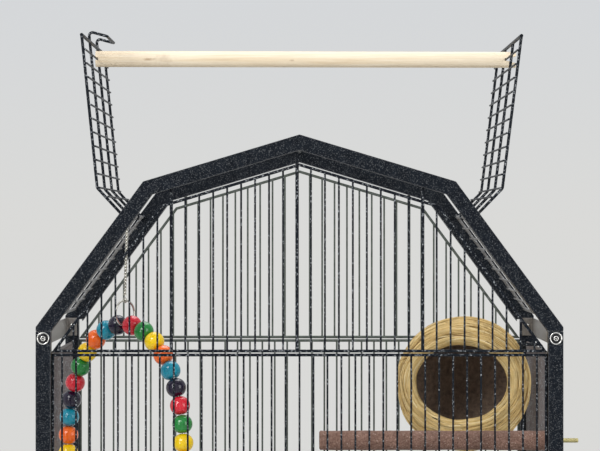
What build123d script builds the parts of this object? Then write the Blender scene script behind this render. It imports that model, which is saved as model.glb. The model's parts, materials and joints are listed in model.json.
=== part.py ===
from build123d import *

import os
from math import atan2, cos, hypot, pi, radians, sin, sqrt

# Bird cage with a barn-shaped opening roof, on a rolling stand. Millimetres.
# X is the width, the front faces -Y, Z is up and the floor is Z = 0.

# Driving dimensions ---------------------------------------------------------
CAGE_W = 528.0          # over the corner posts
CAGE_D = 420.0          # over the corner posts
APEX_Z = 1500.0         # top of the roof frame
BREAK_X = 156.5         # where the shallow roof slope turns into the steep one
BREAK_DROP = 47.0       # below the apex
EAVE_DROP = 192.7       # below the apex
TUBE = 15.0             # square tube of the frame
BACK_BAND = 19.0        # the back arch is wider in its own plane
WALL = 1.2              # tube wall
SEAM_DROP = 4.0         # the arch ends this far below the eave corner
SEAM_GAP = 0.4

PITCH = 14.0            # between bar centres
BAR_R = 1.0
THICK_R = 1.7
BORDER_R = 1.5
GABLE_INSET = 29.0      # roof outline to the gable grille's border wire
GABLE_BOTTOM = 216.9    # below the apex
LOWER_TOP = 220.9       # below the apex
GABLE_SHIFT = -2.5      # the gable bars stand a little left of the lower ones
WELD = 0.3              # how far a crossing wire sinks into the bars

BASE_Z = 600.0          # underside of the base frame
BASE_H = 52.0
SHEET = 1.5
LEG = 20.0
LEG_Z = 64.0            # underside of the legs
SHELF_Z = 200.0
SCREW_R = 2.5
WASHER_R = 6.4
WASHER_T = 1.2

HALF_W = CAGE_W / 2
HALF_D = CAGE_D / 2
INNER_D = HALF_D - TUBE
POST_X = HALF_W - TUBE / 2
POST_Y = HALF_D - TUBE / 2
BASE_TOP = BASE_Z + BASE_H
EAVE_Z = APEX_Z - EAVE_DROP
SEAM_Z = EAVE_Z - SEAM_DROP
BREAK_Z = APEX_Z - BREAK_DROP
SHALLOW = atan2(BREAK_DROP, BREAK_X)
STEEP = atan2(EAVE_DROP - BREAK_DROP, HALF_W - BREAK_X)
SCREW_Z = EAVE_Z - 11.3
SIDES = {"left": -1, "right": 1}
ENDS = {"front": -1, "back": 1}

# Roof panels: hinged on a rod in the steep slope, shown swung open
HINGE_INSET = 4.0       # hinge rod's axis below the outer face of the arch
HINGE_R = 2.0
SHORT_LEG = 39.0        # hinge to the panel's bend
LONG_LEG = 155.0        # bend to the panel's free edge
OPEN_DEG = {"left": 79.1, "right": 80.4}
PANEL_D = 376.0
RIB_Y = [-PANEL_D / 2, -PANEL_D / 6, PANEL_D / 6, PANEL_D / 2]
RUNG_R = 1.0
RIB_R = 1.5
EYE_R = 3.6
EYE_LEN = 8.0
RUNNING = 0.05          # radial clearance of a pin in its hole
RUNG_COUNT = 11
TOP_R = 1.75            # top wire of a panel
HOOK_OUT = 19.0         # latch hook at the left panel's free edge
HOOK_UP = 11.0
HOOK_DIP = 5.0
PERCH_RUNG = 10         # the rung that the play perch sits on, counted from the bend

# Perches
PLAY_R = 8.5
PLAY_END = 11.0         # how far the dowel stands past the panel's wires
SLOT_MOUTH = 8.4
SAND_R = 10.3
SAND_LEN = 235.0
SAND_Y = -126.0
SAND_DROP = 311.6       # below the apex
STUD_R = 2.5
STUD_CORE = 2.0         # under the nut and in the perch
STUD_STEP = 266.0       # where the free end starts
STUD_TIP = 286.0
WOOD_R = 8.0
WOOD_Y = 105.0
WOOD_Z = 900.0

# Bead swing: its plane is turned so that its right leg is the nearer one
SWING_X = -179.6
SWING_Y = -119.4
SWING_TURN = radians(44.2)
SWING_HALF = 87.2
ARCH_H = 120.6
ARCH_TOP_DROP = 192.0   # top of the bead arch below the apex
BEAD_R = 10.0
BEAD_LEN = 17.8
BEAD_PITCH = 18.8
BEAD_BORE = 1.7
RING_GAP = 1.5          # from the top of the arch to the first bead's face
THREAD_R = 1.2
RING_R = 13.1
RING_WIRE = 1.1
SIDE_BEADS = 13
SWING_PERCH_R = 7.0
SWING_PERCH_OVER = 9.0
BEAD_ORDER = {-1: ["purple", "teal", "orange", "yellow", "green", "red"],
              1: ["red", "green", "yellow", "orange", "teal", "purple"]}

# Nest
NEST_R = 74.0
NEST_WALL = 11.0
NEST_MOUTH = (49.0, 38.0)   # half width and half height
NEST_MOUTH_AT = (-6.0, 4.0) # from the nest's centre
NEST_X = 177.0
NEST_Y = 30.0
NEST_DROP = 261.3       # centre below the apex

# Front door, feeder doors and cups
DOOR_W = 308.0
DOOR_Z0 = 740.0
DOOR_Z1 = 1130.0
DOOR_GAP = 4.2          # door plane in front of the grille plane
FRAME_R = 2.0
LATCH_X = DOOR_W / 2 - 15.5
LATCH_Z = 960.0
LATCH_PIN_R = 2.5
FEEDER_W = 126.0
FEEDER_Z0 = 790.0
FEEDER_Z1 = 910.0
FEEDER_GAP = 4.0
CUP_R = 46.0
CUP_H = 48.0
CUP_WALL = 0.8
RIM = 1.2

# Tray and casters
TRAY_H = 34.0
GRATE_Z = BASE_Z + 46.0
WHEEL_R = 25.0
WHEEL_W = 15.0
TRAIL = 20.0
AXLE_R = 3.0
STEM_R = 4.0
PLATE_R = 17.0


# Roof outline ---------------------------------------------------------------
def mitre(point, slope_a, slope_b, inset):
    """Corner of the left half moved inwards; the slopes are of the faces that meet there."""
    normal_a = (-sin(slope_a), cos(slope_a))
    normal_b = (-sin(slope_b), cos(slope_b))
    scale = inset / (1 + normal_a[0] * normal_b[0] + normal_a[1] * normal_b[1])
    x = point[0] - scale * (normal_a[0] + normal_b[0])
    z = point[1] - scale * (normal_a[1] + normal_b[1])
    return (x, z)


def roof_left(inset):
    """Eave, break and apex of the left half, moved inwards by inset."""
    eave = mitre((-HALF_W, EAVE_Z), STEEP, pi / 2, inset)
    bend = mitre((-BREAK_X, BREAK_Z), STEEP, SHALLOW, inset)
    apex = mitre((0, APEX_Z), SHALLOW, -SHALLOW, inset)
    return [eave, bend, apex]


def roof_points(inset):
    """The whole outline from the left eave to the right eave."""
    left = roof_left(inset)
    right = [(-x, z) for x, z in reversed(left[:-1])]
    return left + right


def facing_front(y):
    """Sketch plane at this Y, seen from the front: local X and Y are world X and Z."""
    return Plane.XZ.offset(-y)


def hinge_point(side):
    """Axis of a roof panel's hinge rod, as X and Z."""
    bend = roof_left(HINGE_INSET)[1]
    x = bend[0] - SHORT_LEG * cos(STEEP)
    z = bend[1] - SHORT_LEG * sin(STEEP)
    return (-side * x, z)


# Wires ----------------------------------------------------------------------
def wire(start, end, radius):
    """Straight round wire between two points."""
    span = Vector(*end) - Vector(*start)
    with BuildSketch(Plane(origin=start, z_dir=span)) as section:
        Circle(radius)
    extrude(section.sketch, amount=span.length)


def wire_loop(points, radius):
    """Closed round wire through the points, with mitred corners."""
    first = Vector(*points[1]) - Vector(*points[0])
    middle = (Vector(*points[0]) + Vector(*points[1])) * 0.5
    with BuildLine() as ring:
        Polyline(middle, *points[1:], points[0], middle)
    with BuildSketch(Plane(origin=middle, z_dir=first)) as section:
        Circle(radius)
    sweep(section.sketch, path=ring.wires()[0], transition=Transition.RIGHT)


def bar_offsets(width, pitch):
    """Bar positions along a width, centred, keeping clear of the border wires."""
    count = int((width - pitch * 0.6) / pitch) + 1
    return [(i - (count - 1) / 2) * pitch for i in range(count)]


def build_grille(plane, width, height, rails=(), opening=None, side=1, border=BORDER_R):
    """Welded grille in a plane whose local X is across the bars and local Y along them.

    rails are heights of crossing wires, which lie on the plane's side of the bars.
    opening is (centre across, low, high, width) of a framed opening.
    """
    across = plane.x_dir
    along = plane.y_dir
    out = plane.z_dir * side

    def at(u, v, w=0.0):
        return plane.origin + across * u + along * v + out * w

    with BuildSketch(Plane(origin=plane.origin, x_dir=across, z_dir=along)) as bars:
        with Locations(*[(u, 0) for u in bar_offsets(width, PITCH)]):
            Circle(BAR_R)
    extrude(bars.sketch, amount=height)
    if opening:
        u, low, high, hole = opening
        hole_plane = Plane(origin=at(u, (low + high) / 2), x_dir=across, z_dir=plane.z_dir)
        with BuildSketch(hole_plane) as gap:
            Rectangle(hole, high - low)
        extrude(gap.sketch, amount=4 * BAR_R, both=True, mode=Mode.SUBTRACT)
        corners = [(u - hole / 2, low), (u + hole / 2, low), (u + hole / 2, high), (u - hole / 2, high)]
        wire_loop([at(*corner) for corner in corners], border)
    edge = width / 2
    wire_loop([at(-edge, 0), at(edge, 0), at(edge, height), at(-edge, height)], border)
    for v in rails:
        depth = BAR_R + BORDER_R - WELD
        wire(at(-edge, v, depth), at(edge, v, depth), BORDER_R)


# Frame ----------------------------------------------------------------------
def roof_arch(name, y_back, width):
    """Bent square tube that follows the barn outline, open at its two ends."""

    def band(near, far, end_z):
        outer = roof_points(near)
        inner = roof_points(far)
        feet_out = [(outer[0][0], end_z)] + outer + [(outer[-1][0], end_z)]
        feet_in = [(inner[-1][0], end_z)] + inner[::-1] + [(inner[0][0], end_z)]
        return feet_out + feet_in

    with BuildPart() as arch:
        with BuildSketch(facing_front(y_back)):
            with BuildLine():
                Polyline(*band(0, width, SEAM_Z), close=True)
            make_face()
        extrude(amount=TUBE)
        with BuildSketch(facing_front(y_back - WALL)):
            with BuildLine():
                Polyline(*band(WALL, width - WALL, SEAM_Z - TUBE), close=True)
            make_face()
        extrude(amount=TUBE - 2 * WALL, mode=Mode.SUBTRACT)
    return finish(arch, name)


def corner_post(name, side, end):
    """Hollow square post with a cross hole for the eave screw."""
    height = SEAM_Z - SEAM_GAP - BASE_TOP
    with BuildPart() as post:
        with BuildSketch(Plane.XY.offset(BASE_TOP)):
            with Locations((side * POST_X, end * POST_Y)):
                Rectangle(TUBE, TUBE)
                Rectangle(TUBE - 2 * WALL, TUBE - 2 * WALL, mode=Mode.SUBTRACT)
        extrude(amount=height)
        with BuildSketch(facing_front(end * POST_Y)):
            with Locations((side * POST_X, SCREW_Z)):
                Circle(SCREW_R + 0.2)
        extrude(amount=TUBE, both=True, mode=Mode.SUBTRACT)
    return finish(post, name)


def eave_screws():
    """Four button-head screws through the posts, each with a hexagon socket."""
    head_r = 4.2
    head_h = 2.6
    shank = TUBE + WASHER_T + 4
    with BuildPart() as screws:
        for end in ENDS.values():
            for side in SIDES.values():
                start = (side * POST_X, end * (HALF_D + WASHER_T), SCREW_Z)
                with BuildSketch(Plane(origin=start, x_dir=(1, 0, 0), z_dir=(0, 0, end))):
                    with BuildLine():
                        Polyline((0, head_h), (0, -shank), (SCREW_R, -shank), (SCREW_R, 0), (head_r, 0),
                                 (head_r, 0.9))
                        ThreePointArc((head_r, 0.9), (3.6, 2.0), (2.2, head_h))
                        Line((2.2, head_h), (0, head_h))
                    make_face()
                revolve(axis=Axis(start, (0, end, 0)))
                face = Plane(origin=start, z_dir=(0, end, 0))
                with BuildSketch(face.offset(head_h)):
                    RegularPolygon(1.6, 6)
                extrude(amount=-1.4, mode=Mode.SUBTRACT)
    return finish(screws, "eave_screws")


def eave_washers():
    """Dished washers under the eave screws."""
    with BuildPart() as washers:
        for end in ENDS.values():
            for side in SIDES.values():
                with BuildSketch(Plane(origin=(side * POST_X, end * HALF_D, SCREW_Z), z_dir=(0, end, 0))):
                    Circle(WASHER_R)
                    Circle(SCREW_R + 0.1, mode=Mode.SUBTRACT)
                extrude(amount=WASHER_T)
    return finish(washers, "eave_washers")


def eave_rail(name, side):
    """Flat strip along the eave, with an end tab screwed to each post."""
    height = 20.0
    with BuildPart() as rail:
        with Locations((side * (HALF_W - SHEET), 0, SCREW_Z - 1)):
            Box(SHEET, 2 * INNER_D, height)
        for end in ENDS.values():
            with Locations((side * (POST_X + 0.5), end * (INNER_D - SHEET / 2), SCREW_Z - 1)):
                Box(TUBE - 2.5, SHEET, height)
            with BuildSketch(facing_front(end * INNER_D)):
                with Locations((side * POST_X, SCREW_Z)):
                    Circle(SCREW_R + 0.2)
            extrude(amount=2 * SHEET, both=True, mode=Mode.SUBTRACT)
    return finish(rail, name)


def ridge_bar():
    """Round bar between the two arches, under the ridge."""
    with BuildPart() as ridge:
        wire((0, -INNER_D, APEX_Z - 7), (0, INNER_D, APEX_Z - 7), 3.0)
    return finish(ridge, "ridge_bar")


# Grilles --------------------------------------------------------------------
def gable_grille(name, y, tube_inset):
    """Barn-shaped grille inside an arch, hung from it by three thicker bars."""
    left = roof_left(GABLE_INSET)
    bottom = APEX_Z - GABLE_BOTTOM
    slope_x = (left[0][1] - bottom) * cos(STEEP) / sin(STEEP)
    corner = (left[0][0] - slope_x, bottom)
    outline = [corner, left[1], left[2], (-left[1][0], left[1][1]), (-corner[0], corner[1])]
    reach = roof_points(tube_inset)
    count = int(-corner[0] / PITCH)
    thick = (-9, 0, 9)
    thin = [i for i in range(-count, count + 1) if i not in thick]
    with BuildPart() as gable:
        with BuildSketch(Plane.XY.offset(bottom)):
            with Locations(*[(GABLE_SHIFT + i * PITCH, y) for i in thin]):
                Circle(BAR_R)
        extrude(amount=EAVE_DROP)
        with BuildSketch(facing_front(y)) as region:
            with BuildLine():
                Polyline(*outline, close=True)
            make_face()
        extrude(amount=2 * THICK_R, both=True, mode=Mode.INTERSECT)
        with BuildSketch(Plane.XY.offset(bottom)):
            with Locations(*[(GABLE_SHIFT + i * PITCH, y) for i in thick]):
                Circle(THICK_R)
        extrude(amount=EAVE_DROP)
        with BuildSketch(facing_front(y)):
            with BuildLine():
                Polyline((-HALF_W, bottom - TUBE), *reach, (HALF_W, bottom - TUBE), close=True)
            make_face()
        extrude(amount=2 * THICK_R, both=True, mode=Mode.INTERSECT)
        wire_loop([(x, y, z) for x, z in outline], BORDER_R)
    return finish(gable, name)


def roof_grille(name, side):
    """Fixed grille of the steep slope, from the hinge rod down to the eave."""
    hinge_x, hinge_z = hinge_point(side)
    lean = (side * cos(STEEP), 0, -sin(STEEP))
    length = 128.0
    inset = RIB_R + RUNG_R - WELD
    below = (-side * sin(STEEP) * inset, 0, -cos(STEEP) * inset)

    def down(distance, y, sunk=0.0):
        return tuple(c + lean[i] * distance + below[i] * sunk for i, c in enumerate((hinge_x, y, hinge_z)))

    with BuildPart() as grille:
        wire(down(0, -INNER_D), down(0, INNER_D), HINGE_R)
        wire(down(length, -INNER_D), down(length, INNER_D), RIB_R + 0.3)
        for y in RIB_Y:
            beside = y - 8 if y > 0 else y + 8
            wire(down(0, beside), down(length, beside), RIB_R)
        for step in range(1, int(length / PITCH)):
            wire(down(step * PITCH, -PANEL_D / 2 - 4, 1), down(step * PITCH, PANEL_D / 2 + 4, 1), RUNG_R)
    return finish(grille, name)


def front_grille():
    """Lower front grille with the door opening and the door's two hinge clips."""
    z0 = BASE_TOP + BORDER_R
    height = APEX_Z - LOWER_TOP - z0
    low = DOOR_Z0 - z0
    high = DOOR_Z1 - z0
    width = CAGE_W - 2 * TUBE - 2 * BORDER_R - 0.4
    plane = Plane(origin=(0, -POST_Y, z0), x_dir=(1, 0, 0), z_dir=(0, -1, 0))
    with BuildPart() as grille:
        build_grille(plane, width, height, (high + 14, low - 14), (0, low, high, DOOR_W - 16), side=-1)
        for z in (DOOR_Z0 + 40, DOOR_Z1 - 40):
            with Locations((-DOOR_W / 2, -POST_Y - DOOR_GAP / 2, z)):
                Box(6.4, DOOR_GAP + 6, 12)
            with Locations((-DOOR_W / 2, -POST_Y - DOOR_GAP, z)):
                Cylinder(FRAME_R + RUNNING, 13, mode=Mode.SUBTRACT)
    return finish(grille, "front_grille")


def back_grille():
    z0 = BASE_TOP + BORDER_R
    height = APEX_Z - LOWER_TOP - z0
    width = CAGE_W - 2 * TUBE - 2 * BORDER_R - 0.4
    plane = Plane(origin=(0, POST_Y, z0), x_dir=(1, 0, 0), z_dir=(0, -1, 0))
    with BuildPart() as grille:
        build_grille(plane, width, height, (height / 3, 2 * height / 3), side=-1)
    return finish(grille, "back_grille")


def side_grille(name, side):
    """Side grille with a feeder opening and two guide wires for its sliding door."""
    z0 = BASE_TOP + BORDER_R
    height = SCREW_Z - 19 - z0
    low = FEEDER_Z0 - z0
    high = FEEDER_Z1 - z0
    hole = FEEDER_W - 14
    width = 2 * (INNER_D - BORDER_R) - 0.4
    plane = Plane(origin=(side * POST_X, 0, z0), x_dir=(0, 1, 0), z_dir=(1, 0, 0))
    with BuildPart() as grille:
        build_grille(plane, width, height, (low - 12, 0.78 * height), (0, low, high, hole), side=side)
        for end in ENDS.values():
            y = end * FEEDER_W / 2
            x = side * (POST_X + FEEDER_GAP)
            bottom = FEEDER_Z0 - 6
            top = FEEDER_Z1 + FEEDER_Z1 - FEEDER_Z0
            wire((x, y, bottom), (x, y, top), BORDER_R)
            for z in (bottom + 3, top - 3):
                wire((side * POST_X, y, z), (x, y, z), 1.1)
                wire((side * POST_X, y - 8, z), (side * POST_X, y + 8, z), 1.3)
    return finish(grille, name)


# Base and stand -------------------------------------------------------------
def base_frame():
    """Folded sheet ring with the tray's slot in front and lugs that the floor grate lies on."""
    top_band = 10.0
    flange = 22.0
    lug = 26.0
    with BuildPart() as base:
        for side in SIDES.values():
            with Locations((side * (HALF_W - SHEET / 2), 0, BASE_Z + BASE_H / 2)):
                Box(SHEET, CAGE_D, BASE_H)
            with Locations((side * (HALF_W - flange / 2), 0, BASE_Z + SHEET / 2)):
                Box(flange, CAGE_D, SHEET)
            with Locations((side * (HALF_W - TUBE / 2), 0, BASE_TOP - SHEET / 2)):
                Box(TUBE, CAGE_D, SHEET)
            for y in (-150, 150):
                with Locations((side * (HALF_W - lug / 2), y, GRATE_Z - BORDER_R - 0.1 - SHEET / 2)):
                    Box(lug, 14, SHEET)
        with Locations((0, HALF_D - SHEET / 2, BASE_Z + BASE_H / 2)):
            Box(CAGE_W, SHEET, BASE_H)
        with Locations((0, SHEET / 2 - HALF_D, BASE_TOP - top_band / 2)):
            Box(CAGE_W, SHEET, top_band)
        for end in ENDS.values():
            with Locations((0, end * (HALF_D - flange / 2), BASE_Z + SHEET / 2)):
                Box(CAGE_W, flange, SHEET)
            with Locations((0, end * (HALF_D - TUBE / 2), BASE_TOP - SHEET / 2)):
                Box(CAGE_W, TUBE, SHEET)
    return finish(base, "base_frame")


def stand_legs():
    """Four square legs, each closed below by a plate that the caster's stem turns in."""
    plate = 3.0
    x = HALF_W - LEG / 2
    y = HALF_D - LEG / 2
    with BuildPart() as legs:
        with BuildSketch(Plane.XY.offset(LEG_Z)):
            with Locations((-x, -y), (x, -y), (-x, y), (x, y)):
                Rectangle(LEG, LEG)
                Circle(STEM_R + RUNNING, mode=Mode.SUBTRACT)
        extrude(amount=plate)
        with BuildSketch(Plane.XY.offset(LEG_Z + plate)):
            with Locations((-x, -y), (x, -y), (-x, y), (x, y)):
                Rectangle(LEG, LEG)
                Rectangle(LEG - 2 * WALL, LEG - 2 * WALL, mode=Mode.SUBTRACT)
        extrude(amount=BASE_Z - LEG_Z - plate)
    return finish(legs, "stand_legs")


def lower_shelf():
    """Shelf between the legs: folded sheet, notched at the corners."""
    lip = 14.0
    notch = LEG
    with BuildPart() as shelf:
        with BuildSketch(Plane.XY.offset(SHELF_Z)):
            Rectangle(CAGE_W, CAGE_D - 2 * notch)
            Rectangle(CAGE_W - 2 * notch, CAGE_D)
        extrude(amount=SHEET)
        with BuildSketch(Plane.XY.offset(SHELF_Z - lip)):
            for side in SIDES.values():
                with Locations((side * (HALF_W - SHEET / 2), 0)):
                    Rectangle(SHEET, CAGE_D - 2 * notch)
            for end in ENDS.values():
                with Locations((0, end * (HALF_D - SHEET / 2))):
                    Rectangle(CAGE_W - 2 * notch, SHEET)
        extrude(amount=lip)
    return finish(shelf, "lower_shelf")


def caster_spots():
    """Name, swivel axis and outward direction of each caster."""
    for end_name, end in ENDS.items():
        for side_name, side in SIDES.items():
            yield f"{end_name}_{side_name}", side * (HALF_W - LEG / 2), end * (HALF_D - LEG / 2), side


def caster_fork(name, x, y, side):
    """Swivel fork with its stem, and the axle through its two cheeks."""
    disc_z = LEG_Z - 0.4
    cheek = 2.0
    inside = WHEEL_W / 2 + 1.2
    head_z = LEG_Z + 3.4
    with BuildPart() as fork:
        with BuildSketch(Plane.XY.offset(disc_z - 4)):
            with Locations((x, y)):
                Circle(PLATE_R)
        extrude(amount=4)
        for end in ENDS.values():
            face_y = y + end * inside + (cheek if end > 0 else 0)
            with BuildSketch(facing_front(face_y)):
                with BuildLine():
                    foot = x + side * TRAIL
                    Polyline((x - 12, disc_z - 2), (x + 12, disc_z - 2), (foot + 7, WHEEL_R),
                             (foot - 7, WHEEL_R), close=True)
                make_face()
                with Locations((foot, WHEEL_R)):
                    Circle(7)
                    Circle(AXLE_R + 0.02, mode=Mode.SUBTRACT)
            extrude(amount=cheek)
        with BuildSketch(Plane.XY.offset(disc_z - 1)):
            with Locations((x, y)):
                Circle(STEM_R)
        extrude(amount=head_z - disc_z + 1)
        with BuildSketch(Plane.XY.offset(head_z)):
            with Locations((x, y)):
                Circle(5.6)
        extrude(amount=3)
    with BuildPart() as axle:
        with BuildSketch(facing_front(y + inside + cheek)):
            with Locations((x + side * TRAIL, WHEEL_R)):
                Circle(AXLE_R)
        extrude(amount=2 * (inside + cheek))
        for end in ENDS.values():
            with BuildSketch(Plane(origin=(x + side * TRAIL, y + end * (inside + cheek), WHEEL_R),
                                   z_dir=(0, end, 0))):
                Circle(AXLE_R + 1.6)
            extrude(amount=1.6)
    pair = Compound(children=[fork.part, axle.part])
    return finish_shape(pair, name)


def caster_wheel(name, x, y, side):
    """Wheel with a rounded tread, hub bosses and a bore for the axle."""
    half = WHEEL_W / 2
    centre = Plane(origin=(x + side * TRAIL, y, WHEEL_R), x_dir=(0, 1, 0), z_dir=(1, 0, 0))
    with BuildPart() as wheel:
        with BuildSketch(centre):
            with BuildLine():
                Polyline((-half, AXLE_R + RUNNING), (half, AXLE_R + RUNNING), (half, 8), (half - 2, 10),
                         (half - 2, 16), (half, 18), (half, WHEEL_R - 3), (half - 3, WHEEL_R),
                         (3 - half, WHEEL_R), (-half, WHEEL_R - 3), (-half, 18), (2 - half, 16),
                         (2 - half, 10), (-half, 8), close=True)
            make_face()
        revolve(axis=Axis((x + side * TRAIL, y, WHEEL_R), (0, 1, 0)))
    return finish(wheel, name)


# Inside the cage --------------------------------------------------------------
def seed_tray():
    """Drawer tray with a front panel and a rolled finger lip."""
    width = CAGE_W - 2 * SHEET - 4
    front = HALF_D - SHEET
    back = HALF_D - SHEET - 3
    z0 = BASE_Z + SHEET + 1.0
    with BuildPart() as tray:
        with Locations((0, (back - front) / 2, z0 + TRAY_H / 2)):
            Box(width, back + front, TRAY_H)
        with Locations((0, (back - front) / 2, z0 + TRAY_H / 2 + 1)):
            Box(width - 2, back + front - 2, TRAY_H, mode=Mode.SUBTRACT)
        with Locations((0, -front - SHEET / 2, z0 + 19)):
            Box(width, SHEET, 38)
        with Locations((0, -HALF_D - 2.2, z0 + 30)):
            Box(160, 5, 1.4)
        with Locations((0, -HALF_D - 4.4, z0 + 27)):
            Box(160, 1.2, 7)
    return finish(tray, "seed_tray")


def floor_grate():
    """Wire grate above the tray; its border wire lies on the base frame's lugs."""
    plane = Plane(origin=(0, -INNER_D + 6, GRATE_Z), x_dir=(1, 0, 0), z_dir=(0, 0, 1))
    with BuildPart() as grate:
        build_grille(plane, CAGE_W - 44, 2 * INNER_D - 12, (126, 252), side=-1)
    return finish(grate, "floor_grate")


def seed_cup(name, side):
    """Round steel cup with a rolled rim."""
    x = side * (POST_X - 8 - CUP_R - 4)
    with BuildPart() as cup:
        with BuildSketch(Plane.XZ):
            with BuildLine():
                Polyline((0, 0), (CUP_R - 6, 0), (CUP_R, CUP_H - RIM), (CUP_R + 4, CUP_H - RIM),
                         (CUP_R + 4, CUP_H), (CUP_R - CUP_WALL, CUP_H), (CUP_R - 6 - CUP_WALL, CUP_WALL),
                         (0, CUP_WALL), close=True)
            make_face()
        revolve(axis=Axis.Z)
    return finish(cup, name, (x, 0, FEEDER_Z0 + 2))


def cup_ring(name, side):
    """Wire ring that hangs on the side grille and carries the cup by its rim."""
    z = FEEDER_Z0 + 2 + CUP_H - RIM - BORDER_R - 0.3
    x = side * (POST_X - 8 - CUP_R - 4)
    ring_r = CUP_R + 2.2
    hook_x = side * (POST_X - BORDER_R - 1.2)
    with BuildPart() as ring:
        with Locations((x, 0, z)):
            Torus(ring_r, BORDER_R)
        for y in (-28.0, 28.0):
            start = x + side * sqrt(ring_r ** 2 - y ** 2)
            wire((start, y, z), (hook_x, y, z), 1.2)
            wire((hook_x, y, z + 1.2), (hook_x, y, FEEDER_Z0 - 8), 1.2)
    return finish(ring, name)


def roof_panel(name, side):
    """Bent roof grille on four ribs; the left one ends in a latch hook."""
    turn = radians(OPEN_DEG[name.split("_")[0]])
    hinge_x, hinge_z = hinge_point(side)

    def at(along_short, along_long, y, out=0.0):
        """Point by distance from the hinge, then from the bend, and outwards from the ribs."""
        first = STEEP + turn
        second = SHALLOW + turn
        lean = second if along_long > 0 else first
        x = along_short * cos(first) + along_long * cos(second) - out * sin(lean)
        z = along_short * sin(first) + along_long * sin(second) + out * cos(lean)
        return (hinge_x - side * x, y, hinge_z + z)

    out = WELD - RIB_R - RUNG_R
    reach = PANEL_D / 2 + RUNG_R
    with BuildPart() as panel:
        for y in RIB_Y:
            with BuildLine() as path:
                FilletPolyline(at(0, 0, y), at(SHORT_LEG, 0, y), at(SHORT_LEG, LONG_LEG, y), radius=5)
            start = Vector(*at(0, 0, y))
            with BuildSketch(Plane(origin=start, z_dir=Vector(*at(SHORT_LEG, 0, y)) - start)) as section:
                Circle(RIB_R)
            sweep(section.sketch, path=path.wires()[0])
        wire(at(SHORT_LEG - PITCH, 0, -reach, out), at(SHORT_LEG - PITCH, 0, reach, out), RUNG_R)
        for step in range(RUNG_COUNT):
            rung = max(step * PITCH, 0.01)
            wire(at(SHORT_LEG, rung, -reach, out), at(SHORT_LEG, rung, reach, out), RUNG_R)
        wire(at(SHORT_LEG, LONG_LEG, -reach), at(SHORT_LEG, LONG_LEG, reach), TOP_R)
        if side < 0:
            arms = [at(SHORT_LEG, LONG_LEG, RIB_Y[1]), at(SHORT_LEG, LONG_LEG + HOOK_UP, RIB_Y[1])]
            near = arms + [(arms[1][0] + HOOK_OUT, arms[1][1], arms[1][2] - HOOK_DIP)]
            far = [(x, -y, z) for x, y, z in reversed(near)]
            with BuildLine() as hook:
                FilletPolyline(*near, *far, radius=3.5)
            start = Vector(*near[0])
            with BuildSketch(Plane(origin=start, z_dir=Vector(*near[1]) - start)) as section:
                Circle(RIB_R)
            sweep(section.sketch, path=hook.wires()[0])
        for y in RIB_Y:
            with BuildSketch(Plane(origin=(hinge_x, y - EYE_LEN / 2, hinge_z), z_dir=(0, 1, 0))) as eye:
                Circle(EYE_R)
            extrude(eye.sketch, amount=EYE_LEN)
            with BuildSketch(Plane(origin=(hinge_x, y - EYE_LEN, hinge_z), z_dir=(0, 1, 0))) as bore:
                Circle(HINGE_R + RUNNING)
            extrude(bore.sketch, amount=2 * EYE_LEN, mode=Mode.SUBTRACT)
    return finish(panel, name), at(SHORT_LEG, PERCH_RUNG * PITCH, 0, out)


def play_perch(left_rung, right_rung):
    """Pine dowel; a flared slot in each end straddles a rung of the open panel."""
    span = Vector(*right_rung) - Vector(*left_rung)
    half = span.length / 2 + PLAY_END
    middle = (Vector(*right_rung) + Vector(*left_rung)) * 0.5
    seat = half - PLAY_END - RUNG_R - 0.35
    slot = RUNG_R + 0.35
    with BuildPart() as perch:
        with BuildSketch(Plane(origin=middle, z_dir=span).offset(-half)) as section:
            Circle(PLAY_R)
        extrude(section.sketch, amount=2 * half)
        chamfer(perch.edges().filter_by(GeomType.CIRCLE), 0.8)
        with BuildSketch(Plane(origin=middle, x_dir=span, z_dir=(0, -1, 0))):
            for end in (-1, 1):
                with BuildLine():
                    Polyline((end * seat, -slot), (end * seat, slot), (end * (seat + 2.5), slot),
                             (end * (half + 1), SLOT_MOUTH / 2), (end * (half + 1), -SLOT_MOUTH / 2),
                             (end * (seat + 2.5), -slot), close=True)
                make_face()
        extrude(amount=PLAY_R + 1, both=True, mode=Mode.SUBTRACT)
    return finish(perch, "play_perch")


def sand_perch():
    """Grit-covered perch that stands out from the right side grille."""
    z = APEX_Z - SAND_DROP
    tip = POST_X - BAR_R - 0.3
    with BuildPart() as perch:
        with BuildSketch(Plane(origin=(tip, SAND_Y, z), z_dir=(-1, 0, 0))):
            Circle(SAND_R)
        extrude(amount=SAND_LEN)
        chamfer(perch.edges().filter_by(GeomType.CIRCLE), 1.5)
        with BuildSketch(Plane(origin=(tip, SAND_Y, z), z_dir=(-1, 0, 0))):
            Circle(STUD_R)
        extrude(amount=18, mode=Mode.SUBTRACT)
    return finish(perch, "sand_perch")


def perch_stud():
    """Threaded stud of the sand perch, past the bars to the outside."""
    z = APEX_Z - SAND_DROP
    start = POST_X - BAR_R - 0.3 - 18
    with BuildPart() as stud:
        wire((start, SAND_Y, z), (STUD_STEP, SAND_Y, z), STUD_CORE)
        wire((STUD_STEP, SAND_Y, z), (STUD_TIP, SAND_Y, z), STUD_R)
        chamfer(stud.edges().filter_by(GeomType.CIRCLE).sort_by(Axis.X)[-1], 0.6)
    return finish(stud, "sand_perch_stud")


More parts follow.
